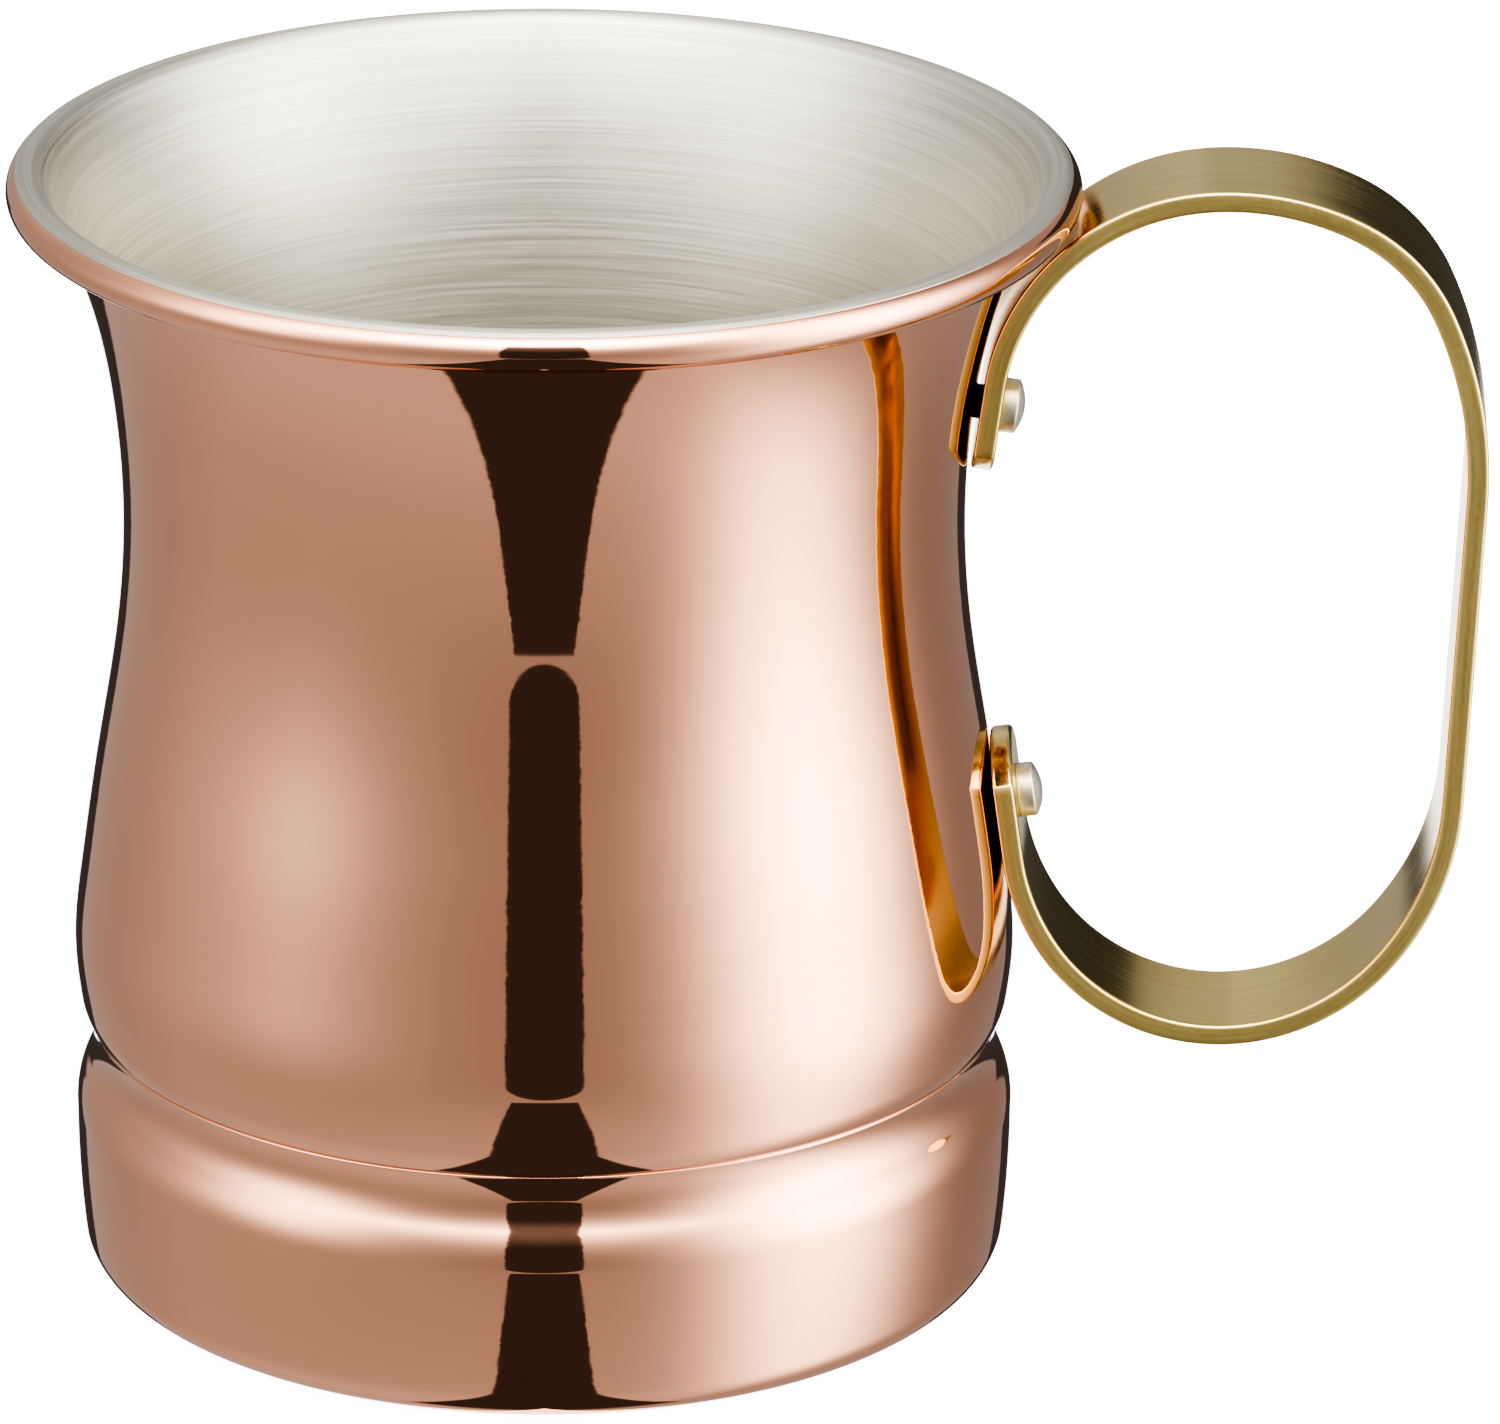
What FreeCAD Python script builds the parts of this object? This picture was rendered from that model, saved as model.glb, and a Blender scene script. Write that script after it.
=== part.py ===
import FreeCAD, Part

import math
import os

# Copper mug with a riveted brass strap handle. Millimetres, +Z up.
# The origin is on the mug's axis, in the plane that it rests on. The handle is on the +X side.

# Sheet
COPPER_THICK = 0.9
LINING_THICK = 0.15

# Foot: flat underside, rounded bottom edge, slightly barrelled band, rounded shoulder
FOOT_RADIUS = 41.13
FOOT_WIDEST_HEIGHT = 13.4
FOOT_BARREL_RADIUS = 100.0
FOOT_EDGE_RADIUS = 3.4
SHOULDER_START_HEIGHT = 14.4
SHOULDER_RADIUS = 7.0
SHOULDER_LEAN = 31.0

# Rounded groove between the foot and the belly, a fine seam line along its upper side, and the
# rounded lip of the belly above that line
GROOVE_RADIUS = 5.2
GROOVE_LEAN = 24.5
SEAM_RADIUS = 0.1
LIP_RADIUS = 5.5
LIP_LEAN = 32.0
LIP_TOP_LEAN = 8.0

# Outer radius of the wall at each height, from the belly to the flared mouth
WALL_STATIONS = (
    (29.5, 41.1),
    (36.0, 40.5),
    (46.0, 39.05),
    (57.0, 37.25),
    (68.5, 36.4),
    (79.0, 37.05),
    (88.0, 38.8),
)

# Rolled rim bead: the sheet curls outwards and down, and its edge stops just short of the wall
BEAD_CENTRE_RADIUS = 44.25
BEAD_CENTRE_HEIGHT = 98.1
BEAD_RADIUS = 1.75
MOUTH_LEAN = 33.0
CURL_END_ANGLE = -140.0
LINING_END_ANGLE = 58.0
CURL_RADIUS = BEAD_RADIUS - COPPER_THICK
WALL_INSET_POINTS = 24

# Handle: a flat strap bent to a D loop. Headings turn from straight up (0) through
# outwards (90) and down (180) to up again (360); each bend is its centreline radius and
# the heading that it ends on.
STRAP_WIDTH = 13.0
STRAP_THICK = 1.85
STRAP_EDGE_RADIUS = 0.35
STRAP_END_RADIUS = 9.0
STRAP_START_RADIUS = 37.63
UPPER_END_HEIGHT = 73.5
UPPER_LEG_LENGTH = 8.9
UPPER_LEG_HEADING = 7.4
UPPER_BENDS = ((19.8, 85.0), (24.3, 116.3), (15.9, 155.2), (35.7, 182.6))
GRIP_LENGTH = 27.7
LOWER_BENDS = ((25.6, 218.2), (19.4, 251.8), (17.6, 327.4), (20.4, 351.8))
LOWER_LEG_HEADING = LOWER_BENDS[-1][1]
LOWER_END_HEIGHT = 48.8

# Rivets: button head on the strap, shank, low head formed against the lining
RIVET_END_DISTANCE = 5.6
RIVET_SHANK_RADIUS = 1.5
RIVET_HEAD_RADIUS = 2.37
RIVET_HEAD_SIDE = 1.25
RIVET_HEAD_SOFTENING = 0.25
RIVET_SHOULDER_ANGLE = 55.0
RIVET_HEAD_HEIGHT = 2.1
RIVET_TAIL_RADIUS = 2.6
RIVET_TAIL_HEIGHT = 0.7
RIVET_TAIL_SINK = 0.3
RIVET_REACH = 0.5

# Edge lengths closer than this count as equal
TINY = 0.01


def point(radius, height):
    """A point of the XZ plane, where every outline is drawn."""
    return FreeCAD.Vector(radius, 0, height)


def polar(centre, radius, degrees):
    """The point at this angle above the horizontal on a circle round a centre."""
    angle = math.radians(degrees)
    return centre + radius * point(math.cos(angle), math.sin(angle))


def heading_vector(heading):
    return point(math.sin(math.radians(heading)), math.cos(math.radians(heading)))


def outward_vector(heading):
    """Square to a heading, towards the outside of the handle's loop."""
    return heading_vector(heading - 90)


def line(start, end):
    return Part.LineSegment(start, end).toShape()


def arc(centre, radius, start_degrees, end_degrees):
    """An arc edge that runs from one angle to another in the XZ plane."""
    middle = (start_degrees + end_degrees) / 2
    ends = [polar(centre, radius, a) for a in (start_degrees, middle, end_degrees)]
    return Part.Arc(*ends).toShape()


def foot_edges(inset):
    """Underside, bottom edge, band, shoulder and groove, with the outer face's end below the seam."""
    barrel_centre = point(FOOT_RADIUS - FOOT_BARREL_RADIUS, FOOT_WIDEST_HEIGHT)
    reach = FOOT_BARREL_RADIUS - FOOT_EDGE_RADIUS
    low = -math.degrees(math.asin((FOOT_WIDEST_HEIGHT - FOOT_EDGE_RADIUS) / reach))
    edge_centre = polar(barrel_centre, reach, low)
    rise = SHOULDER_START_HEIGHT - FOOT_WIDEST_HEIGHT
    high = math.degrees(math.asin(rise / FOOT_BARREL_RADIUS))
    shoulder_centre = polar(barrel_centre, FOOT_BARREL_RADIUS - SHOULDER_RADIUS, high)
    groove_centre = polar(shoulder_centre, SHOULDER_RADIUS + GROOVE_RADIUS, SHOULDER_LEAN)
    groove_top = 180 - GROOVE_LEAN
    edges = [
        line(point(0, inset), point(edge_centre.x, inset)),
        arc(edge_centre, FOOT_EDGE_RADIUS - inset, -90, low),
        arc(barrel_centre, FOOT_BARREL_RADIUS - inset, low, high),
        arc(shoulder_centre, SHOULDER_RADIUS - inset, high, SHOULDER_LEAN),
        arc(groove_centre, GROOVE_RADIUS + inset, SHOULDER_LEAN + 180, groove_top),
    ]
    return edges, polar(groove_centre, GROOVE_RADIUS, groove_top)


def seam_edge(start, end, inset):
    """Round-bottomed seam line on the outer face, and plain sheet at any depth below it."""
    inwards = outward_vector(GROOVE_LEAN)
    if inset:
        return line(start + inwards * inset, end + outward_vector(LIP_LEAN) * inset)
    return Part.Arc(start, (start + end) / 2 + inwards * SEAM_RADIUS, end).toShape()


def wall_edge(start, bead_centre, inset):
    """The wall as one smooth curve, from the lip to the start of the curl."""
    end = polar(bead_centre, CURL_RADIUS, 180 - MOUTH_LEAN)
    stations = [point(radius, height) for height, radius in WALL_STATIONS]
    ways = {
        "InitialTangent": heading_vector(LIP_TOP_LEAN),
        "FinalTangent": heading_vector(MOUTH_LEAN),
        "Scale": False,
    }
    outer = Part.BSplineCurve()
    outer.interpolate(Points=[start] + stations + [end], **ways)
    if inset == 0:
        return outer.toShape()
    points = []
    length = outer.LastParameter - outer.FirstParameter
    for i in range(WALL_INSET_POINTS + 1):
        along = outer.FirstParameter + length * i / WALL_INSET_POINTS
        way = outer.tangent(along)[0]
        points.append(outer.value(along) + inset * point(-way.z, way.x))
    moved = Part.BSplineCurve()
    moved.interpolate(Points=points, **ways)
    return moved.toShape()


def sheet_edges(inset, curl_end):
    """A line through the sheet at one depth below its outer face, from the axis to the curl."""
    bead_centre = point(BEAD_CENTRE_RADIUS, BEAD_CENTRE_HEIGHT)
    foot, seam_start = foot_edges(inset)
    seam_end = seam_start + heading_vector(GROOVE_LEAN) * 2 * SEAM_RADIUS
    seam = seam_edge(seam_start, seam_end, inset)
    lip_centre = polar(seam_end, -LIP_RADIUS, -LIP_LEAN)
    lip = arc(lip_centre, LIP_RADIUS - inset, -LIP_LEAN, -LIP_TOP_LEAN)
    wall_start = polar(lip_centre, LIP_RADIUS, -LIP_TOP_LEAN)
    curl = arc(bead_centre, CURL_RADIUS + inset, 180 - MOUTH_LEAN, curl_end)
    return foot + [seam, lip, wall_edge(wall_start, bead_centre, inset), curl]


def spun(section):
    """Turns a section about the mug's axis, with the seam on the side away from the handle."""
    solid = section.revolve(FreeCAD.Vector(0, 0, 0), FreeCAD.Vector(0, 0, 1), 360)
    solid.rotate(FreeCAD.Vector(0, 0, 0), FreeCAD.Vector(0, 0, 1), 180)
    return solid


def spun_layer(outer_inset, inner_inset, curl_end):
    """A layer of the sheet between two depths, spun round the axis."""
    outer = sheet_edges(outer_inset, curl_end)
    inner = sheet_edges(inner_inset, curl_end)
    rim = line(outer[-1].Vertexes[-1].Point, inner[-1].Vertexes[-1].Point)
    middle = line(point(0, outer_inset), point(0, inner_inset))
    outline = Part.Wire(Part.sortEdges(outer + [rim] + inner + [middle])[0])
    return spun(Part.Face(outline))


def make_cup_body():
    """Copper shell, before its rivet holes are drilled."""
    return spun_layer(0, COPPER_THICK, CURL_END_ANGLE)


def make_cup_lining():
    """Tinned layer on the inside and over the crown of the bead, before its holes are drilled."""
    return spun_layer(COPPER_THICK, COPPER_THICK + LINING_THICK, LINING_END_ANGLE)


def bent_edges(start, heading, bends):
    """Tangent arcs that turn from a heading through a list of bends, with their last point."""
    edges = []
    for radius, next_heading in bends:
        centre = start - outward_vector(heading) * radius
        middle = centre + outward_vector((heading + next_heading) / 2) * radius
        end = centre + outward_vector(next_heading) * radius
        edges.append(Part.Arc(start, middle, end).toShape())
        start = end
        heading = next_heading
    return edges, start


def straight_edge(start, heading, length):
    end = start + heading_vector(heading) * length
    return line(start, end), end


def strap_path():
    """Centreline of the strap's thickness, from its upper end round to its lower end."""
    start = point(STRAP_START_RADIUS, UPPER_END_HEIGHT)
    grip_heading = UPPER_BENDS[-1][1]
    leg, corner = straight_edge(start, UPPER_LEG_HEADING, UPPER_LEG_LENGTH)
    upper, corner = bent_edges(corner, UPPER_LEG_HEADING, UPPER_BENDS)
    grip, corner = straight_edge(corner, grip_heading, GRIP_LENGTH)
    lower, corner = bent_edges(corner, grip_heading, LOWER_BENDS)
    lower_leg_length = (LOWER_END_HEIGHT - corner.z) / heading_vector(LOWER_LEG_HEADING).z
    last, corner = straight_edge(corner, LOWER_LEG_HEADING, lower_leg_length)
    return Part.Wire([leg] + upper + [grip] + lower + [last])


def end_cutter(end, heading):
    """What is cut off beyond a strap end's rounded plan. The heading points off the end."""
    reach = 2 * STRAP_WIDTH
    along = heading_vector(heading)
    face = outward_vector(heading)
    side = FreeCAD.Vector(0, 1, 0)
    corner = end - (along * STRAP_END_RADIUS + face * reach + side * reach) / 2
    block = Part.makeBox(reach, reach, reach)
    block.Placement = FreeCAD.Placement(corner, FreeCAD.Rotation(face, side, along))
    centre = end - along * STRAP_END_RADIUS
    return block.cut(Part.makeCylinder(STRAP_END_RADIUS, 2 * reach, centre - face * reach, face))


def make_strap(path):
    """Flat strap with softened long edges and rounded plan ends, before its holes are drilled."""
    outer_face = path.makeOffset2D(STRAP_THICK / 2, 0, False, True, False)
    section = outer_face.makeOffset2D(-STRAP_THICK, 0, True, True, False)
    section.translate(FreeCAD.Vector(0, -STRAP_WIDTH / 2, 0))
    solid = section.extrude(FreeCAD.Vector(0, STRAP_WIDTH, 0))
    ends = path.OrderedVertexes
    solid = solid.cut(end_cutter(ends[0].Point, UPPER_LEG_HEADING + 180))
    solid = solid.cut(end_cutter(ends[-1].Point, LOWER_LEG_HEADING))
    return soften_strap_edges(solid.Solids[0])


def soften_strap_edges(solid):
    """Rounds the outline of the strap's two broad faces, and leaves what only crosses it."""
    crossings = (STRAP_THICK, STRAP_WIDTH)
    edges = [e for e in solid.Edges if all(abs(e.Length - c) > TINY for c in crossings)]
    return solid.makeFillet(STRAP_EDGE_RADIUS, edges).Solids[0]


def rivet_seats(path):
    """For each rivet, the point on the strap's loop-side face and the way its head points."""
    ends = path.OrderedVertexes
    upper_along = heading_vector(UPPER_LEG_HEADING)
    lower_along = heading_vector(LOWER_LEG_HEADING + 180)
    seats = {}
    for name, end, along, heading in (
        ("rivet_upper", ends[0].Point, upper_along, UPPER_LEG_HEADING),
        ("rivet_lower", ends[-1].Point, lower_along, LOWER_LEG_HEADING),
    ):
        into_loop = outward_vector(heading) * -1
        centre = end + along * RIVET_END_DISTANCE
        seats[name] = (centre + into_loop * STRAP_THICK / 2, into_loop)
    return seats


def shank(seat, into_loop):
    """Rivet shank from the strap's face through the wall to just inside the cup."""
    length = STRAP_THICK + COPPER_THICK + LINING_THICK + RIVET_REACH
    return Part.makeCylinder(RIVET_SHANK_RADIUS, length, seat - into_loop * length, into_loop)


def rivet_head(seat, into_loop):
    """Button head: straight side, softened shoulder and a shallow dome."""
    shoulder = point(RIVET_HEAD_RADIUS - RIVET_HEAD_SOFTENING, RIVET_HEAD_SIDE)
    flat = line(point(0, 0), point(RIVET_HEAD_RADIUS, 0))
    side = line(point(RIVET_HEAD_RADIUS, 0), polar(shoulder, RIVET_HEAD_SOFTENING, 0))
    soft = arc(shoulder, RIVET_HEAD_SOFTENING, 0, RIVET_SHOULDER_ANGLE)
    edge = polar(shoulder, RIVET_HEAD_SOFTENING, RIVET_SHOULDER_ANGLE)
    top = point(0, RIVET_HEAD_HEIGHT)
    sagitta = top.z - edge.z
    dome_radius = (edge.x ** 2 + sagitta ** 2) / (2 * sagitta)
    rim_angle = math.degrees(math.asin((edge.z - top.z + dome_radius) / dome_radius))
    dome = arc(point(0, top.z - dome_radius), dome_radius, rim_angle, 90)
    outline = Part.Wire([flat, side, soft, dome, line(top, point(0, 0))])
    head = Part.Face(outline).revolve(point(0, 0), point(0, 1), 360)
    head.Placement = FreeCAD.Placement(seat, FreeCAD.Rotation(FreeCAD.Vector(0, 0, 1), into_loop))
    return head


def rivet_tail(seat, into_loop, sheets):
    """Low domed head closed against the lining, whose curve its underside takes."""
    depth = STRAP_THICK + COPPER_THICK + LINING_THICK
    rise = RIVET_TAIL_HEIGHT + RIVET_TAIL_SINK
    dome_radius = (RIVET_TAIL_RADIUS ** 2 + rise ** 2) / (2 * rise)
    into_cup = into_loop * -1
    base = seat + into_cup * (depth - RIVET_TAIL_SINK)
    ball = Part.makeSphere(dome_radius, base + into_cup * (rise - dome_radius))
    disc = Part.makeCylinder(RIVET_TAIL_RADIUS, rise, base, into_cup)
    return ball.common(disc).cut(sheets)


def make_rivet(seat, into_loop, sheets):
    head = rivet_head(seat, into_loop)
    tail = rivet_tail(seat, into_loop, sheets)
    return shank(seat, into_loop).fuse([head, tail]).removeSplitter().Solids[0]


def drill(solid, seats):
    """Takes the rivets' shank holes out of a solid."""
    holes = [shank(seat, into_loop) for seat, into_loop in seats.values()]
    return solid.cut(holes).Solids[0]


def main():
    body = make_cup_body()
    lining = make_cup_lining()
    path = strap_path()
    seats = rivet_seats(path)
    nodes = {
        "cup_body": drill(body, seats),
        "cup_lining": drill(lining, seats),
        "handle": drill(make_strap(path), seats),
    }
    sheets = body.fuse(lining)
    for name, (seat, into_loop) in seats.items():
        nodes[name] = make_rivet(seat, into_loop, sheets)
    os.makedirs("parts", exist_ok=True)
    for name, shape in nodes.items():
        shape.exportStep(f"parts/{name}.step")
        print(name, shape.isValid(), round(shape.Volume, 1), "mm3")


main()
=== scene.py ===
import math

import bpy
import numpy as np
from mathutils import Matrix, Vector


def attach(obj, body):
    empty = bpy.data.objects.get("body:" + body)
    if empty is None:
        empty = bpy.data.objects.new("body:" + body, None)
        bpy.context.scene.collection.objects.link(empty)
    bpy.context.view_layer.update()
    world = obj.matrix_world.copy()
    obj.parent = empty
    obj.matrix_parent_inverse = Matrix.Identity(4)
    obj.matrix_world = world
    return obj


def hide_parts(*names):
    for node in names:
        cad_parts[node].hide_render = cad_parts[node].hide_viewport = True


# Copper mug: the spun copper cup, its satin lining, the brass strap handle and the two rivets
# are made here as fine meshes in place of the CAD solids, from the same dimensions.
# Outlines are worked out in millimetres, as in the CAD, and every mesh is in metres.

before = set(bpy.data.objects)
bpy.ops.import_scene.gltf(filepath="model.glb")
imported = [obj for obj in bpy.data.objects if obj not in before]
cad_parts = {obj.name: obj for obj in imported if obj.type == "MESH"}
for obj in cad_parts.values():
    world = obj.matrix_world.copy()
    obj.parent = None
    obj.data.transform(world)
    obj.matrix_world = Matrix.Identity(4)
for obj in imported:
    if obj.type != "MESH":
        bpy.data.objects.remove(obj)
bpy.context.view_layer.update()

MM = 0.001

# Sheet
COPPER_THICK = 0.9
LINING_THICK = 0.15
LINING_EDGE_THICK = 0.03

# Foot
FOOT_RADIUS = 41.13
FOOT_WIDEST_HEIGHT = 13.4
FOOT_BARREL_RADIUS = 100.0
FOOT_EDGE_RADIUS = 3.4
SHOULDER_START_HEIGHT = 14.4
SHOULDER_RADIUS = 7.0
SHOULDER_LEAN = 31.0

# Rounded groove, the seam line along its upper side, and the belly's rounded lip above that
GROOVE_RADIUS = 5.2
GROOVE_LEAN = 24.5
SEAM_RADIUS = 0.1
LIP_RADIUS = 5.5
LIP_LEAN = 32.0
LIP_TOP_LEAN = 8.0

# Outer radius of the wall at each height
WALL_STATIONS = (
    (29.5, 41.1),
    (36.0, 40.5),
    (46.0, 39.05),
    (57.0, 37.25),
    (68.5, 36.4),
    (79.0, 37.05),
    (88.0, 38.8),
)

# Rolled rim bead
BEAD_CENTRE_RADIUS = 44.25
BEAD_CENTRE_HEIGHT = 98.1
BEAD_RADIUS = 1.75
MOUTH_LEAN = 33.0
CURL_END_ANGLE = -140.0
LINING_END_ANGLE = 58.0
LINING_TAPER_ANGLE = 95.0
CURL_START_ANGLE = 180.0 - MOUTH_LEAN

# Handle strap: headings turn from up (0) through outwards (90) and down (180)
STRAP_WIDTH = 13.0
STRAP_THICK = 1.85
STRAP_EDGE_RADIUS = 0.35
STRAP_END_RADIUS = 9.0
STRAP_START_RADIUS = 37.63
UPPER_END_HEIGHT = 73.5
UPPER_LEG_LENGTH = 8.9
UPPER_LEG_HEADING = 7.4
UPPER_BENDS = ((19.8, 85.0), (24.3, 116.3), (15.9, 155.2), (35.7, 182.6))
GRIP_LENGTH = 27.7
LOWER_BENDS = ((25.6, 218.2), (19.4, 251.8), (17.6, 327.4), (20.4, 351.8))
LOWER_LEG_HEADING = LOWER_BENDS[-1][1]
LOWER_END_HEIGHT = 48.8

# Rivets
RIVET_END_DISTANCE = 5.6
RIVET_SHANK_RADIUS = 1.5
RIVET_HEAD_RADIUS = 2.37
RIVET_HEAD_SIDE = 1.25
RIVET_HEAD_SOFTENING = 0.25
RIVET_SHOULDER_ANGLE = 55.0
RIVET_HEAD_HEIGHT = 2.1
RIVET_TAIL_RADIUS = 2.6
RIVET_TAIL_HEIGHT = 0.7
RIVET_TAIL_SINK = 0.3

# Mesh fineness
AROUND_CUP = 256
AROUND_RIVET = 48
WALL_POINTS = 70
STRAP_STEP = 0.9
STRAP_ACROSS = 14

# Sideways tilt of the copper's polishing ripple, and the roughness of the strap's faces
RIPPLE = 0.012
BROAD_FACE_ROUGHNESS = 0.13
SIDE_FACE_ROUGHNESS = 0.34

# Camera, at the photograph's viewing angle
CAMERA_AZIMUTH = 3.24
CAMERA_ELEVATION = 20.92
CAMERA_PAN = 1.087
CAMERA_DISTANCE = 942.5
CAMERA_AIM_HEIGHT = 49.75
CAMERA_LENS = 259.85


# ---------------------------------------------------------------- outlines (radius, height)


def polar(centre, radius, degrees):
    angle = np.radians(degrees)
    return np.stack([centre[0] + radius * np.cos(angle), centre[1] + radius * np.sin(angle)], axis=-1)


def arc(centre, radius, start, end, count):
    """Points from one angle to another; radius may be a list that changes along the arc."""
    return polar(centre, radius, np.linspace(start, end, count))


def spline(knots, values, start_slope, end_slope):
    """Second derivatives of the smooth curve through some values, with a slope given at each end."""
    gaps = np.diff(knots)
    rises = np.diff(values) / gaps
    count = len(knots)
    matrix = np.zeros((count, count))
    rest = np.zeros(count)
    for i in range(1, count - 1):
        matrix[i, i - 1 : i + 2] = gaps[i - 1], 2 * (gaps[i - 1] + gaps[i]), gaps[i]
        rest[i] = 6 * (rises[i] - rises[i - 1])
    matrix[0, :2] = 2 * gaps[0], gaps[0]
    rest[0] = 6 * (rises[0] - start_slope)
    matrix[-1, -2:] = gaps[-1], 2 * gaps[-1]
    rest[-1] = 6 * (end_slope - rises[-1])
    return np.linalg.solve(matrix, rest)


def on_spline(knots, values, seconds, places):
    """The curve of spline() at some places."""
    i = np.clip(np.searchsorted(knots, places) - 1, 0, len(knots) - 2)
    gap = knots[i + 1] - knots[i]
    a = (knots[i + 1] - places) / gap
    b = (places - knots[i]) / gap
    bend = ((a**3 - a) * seconds[i] + (b**3 - b) * seconds[i + 1]) * gap**2 / 6
    return a * values[i] + b * values[i + 1] + bend


def wall_outline(start, bead_centre, inset):
    """The wall, moved inwards by an inset, from the lip to the start of the curl."""
    end = polar(bead_centre, BEAD_RADIUS - COPPER_THICK, CURL_START_ANGLE)
    stations = [(start[1], start[0]), *WALL_STATIONS, (end[1], end[0])]
    heights, radii = np.array(stations).T
    slopes = np.tan(np.radians([LIP_TOP_LEAN, MOUTH_LEAN]))
    seconds = spline(heights, radii, *slopes)
    z = np.linspace(heights[0], heights[-1], WALL_POINTS)
    r = on_spline(heights, radii, seconds, z)
    slope = np.gradient(r, z, edge_order=2)
    slope[0], slope[-1] = slopes
    length = np.hypot(slope, 1)
    return np.stack([r - inset / length, z + inset * slope / length], axis=-1)


def sheet_outline(inset, curl_end, curl_radius):
    """A line through the sheet at one depth below its outer face, from the axis to the curl's end."""
    barrel_centre = (FOOT_RADIUS - FOOT_BARREL_RADIUS, FOOT_WIDEST_HEIGHT)
    reach = FOOT_BARREL_RADIUS - FOOT_EDGE_RADIUS
    low = -math.degrees(math.asin((FOOT_WIDEST_HEIGHT - FOOT_EDGE_RADIUS) / reach))
    edge_centre = polar(barrel_centre, reach, low)
    rise = SHOULDER_START_HEIGHT - FOOT_WIDEST_HEIGHT
    high = math.degrees(math.asin(rise / FOOT_BARREL_RADIUS))
    shoulder_centre = polar(barrel_centre, FOOT_BARREL_RADIUS - SHOULDER_RADIUS, high)
    groove_centre = polar(shoulder_centre, SHOULDER_RADIUS + GROOVE_RADIUS, SHOULDER_LEAN)
    groove_top = 180 - GROOVE_LEAN
    along_seam = heading_vector(GROOVE_LEAN) * SEAM_RADIUS
    seam_middle = polar(groove_centre, GROOVE_RADIUS, groove_top) + along_seam
    seam = arc(seam_middle, SEAM_RADIUS, groove_top + 90, groove_top - 90, 9)[1:-1]
    lip_centre = polar(seam_middle + along_seam, -LIP_RADIUS, -LIP_LEAN)
    wall_start = polar(lip_centre, LIP_RADIUS, -LIP_TOP_LEAN)
    bead_centre = (BEAD_CENTRE_RADIUS, BEAD_CENTRE_HEIGHT)
    floor = np.linspace((0, inset), (edge_centre[0], inset), 9)
    pieces = [
        floor[:-1],
        arc(edge_centre, FOOT_EDGE_RADIUS - inset, -90, low, 16),
        arc(barrel_centre, FOOT_BARREL_RADIUS - inset, low, high, 12)[1:],
        arc(shoulder_centre, SHOULDER_RADIUS - inset, high, SHOULDER_LEAN, 20)[1:],
        arc(groove_centre, GROOVE_RADIUS + inset, SHOULDER_LEAN + 180, groove_top, 24)[1:],
        seam if inset == 0 else seam[:0],
        arc(lip_centre, LIP_RADIUS - inset, -LIP_LEAN, -LIP_TOP_LEAN, 16),
        wall_outline(wall_start, bead_centre, inset)[1:],
        arc(bead_centre, curl_radius, CURL_START_ANGLE, curl_end, 44)[1:],
    ]
    line = np.concatenate(pieces)
    gaps = np.hypot(*np.diff(line, axis=0).T)
    return line[np.concatenate([[True], gaps > 1e-4])]


def body_outline():
    outer = sheet_outline(0, CURL_END_ANGLE, BEAD_RADIUS - COPPER_THICK)
    inner = sheet_outline(COPPER_THICK, CURL_END_ANGLE, BEAD_RADIUS)
    return np.concatenate([outer, inner[::-1]])


def lining_outline():
    """The lining thins out over the bead, so that its edge lies almost flush with the copper."""
    outer = sheet_outline(COPPER_THICK, LINING_END_ANGLE, BEAD_RADIUS)
    angles = np.linspace(CURL_START_ANGLE, LINING_END_ANGLE, 44)
    thin = np.clip((LINING_TAPER_ANGLE - angles) / (LINING_TAPER_ANGLE - LINING_END_ANGLE), 0, 1)
    thick = LINING_THICK + (LINING_EDGE_THICK - LINING_THICK) * thin**2 * (3 - 2 * thin)
    inner = sheet_outline(COPPER_THICK + LINING_THICK, LINING_END_ANGLE, BEAD_RADIUS + thick)
    return np.concatenate([outer, inner[::-1]])


# ---------------------------------------------------------------- meshes


def mesh_object(name, points, faces, grain):
    """A smooth mesh piece; grain is a place on the flattened sheet, for the materials."""
    mesh = bpy.data.meshes.new(name)
    mesh.from_pydata([Vector(p) * MM for p in points], [], faces)
    mesh.polygons.foreach_set("use_smooth", [True] * len(mesh.polygons))
    layer = mesh.attributes.new("grain", "FLOAT_VECTOR", "POINT")
    layer.data.foreach_set("vector", (np.asarray(grain, dtype=float) * MM).ravel())
    mesh.validate()
    piece = bpy.data.objects.new(name, mesh)
    bpy.context.collection.objects.link(piece)
    return piece


def spun_object(name, outline, around):
    """Turns an outline that starts and ends on the axis about the axis."""
    turn = np.linspace(0, 2 * np.pi, around, endpoint=False)
    along = np.concatenate([[0], np.cumsum(np.hypot(*np.diff(outline, axis=0).T))])
    mean_radius = outline[:, 0].max() / 2
    points = [(0, 0, outline[0, 1])]
    grain = [(0, 0, along[0])]
    for (radius, height), place in zip(outline[1:-1], along[1:-1]):
        for angle in turn:
            c, s = math.cos(angle), math.sin(angle)
            points.append((radius * c, radius * s, height))
            grain.append((mean_radius * c, mean_radius * s, place))
    points.append((0, 0, outline[-1, 1]))
    grain.append((0, 0, along[-1]))
    rings = len(outline) - 2
    last = len(points) - 1
    faces = []
    for j in range(around):
        k = (j + 1) % around
        faces.append((0, 1 + k, 1 + j))
        for i in range(rings - 1):
            low, high = 1 + i * around, 1 + (i + 1) * around
            faces.append((low + j, low + k, high + k, high + j))
        top = 1 + (rings - 1) * around
        faces.append((last, top + j, top + k))
    return mesh_object(name, points, faces, grain)


def heading_vector(heading):
    return np.array([math.sin(math.radians(heading)), math.cos(math.radians(heading))])


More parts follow.
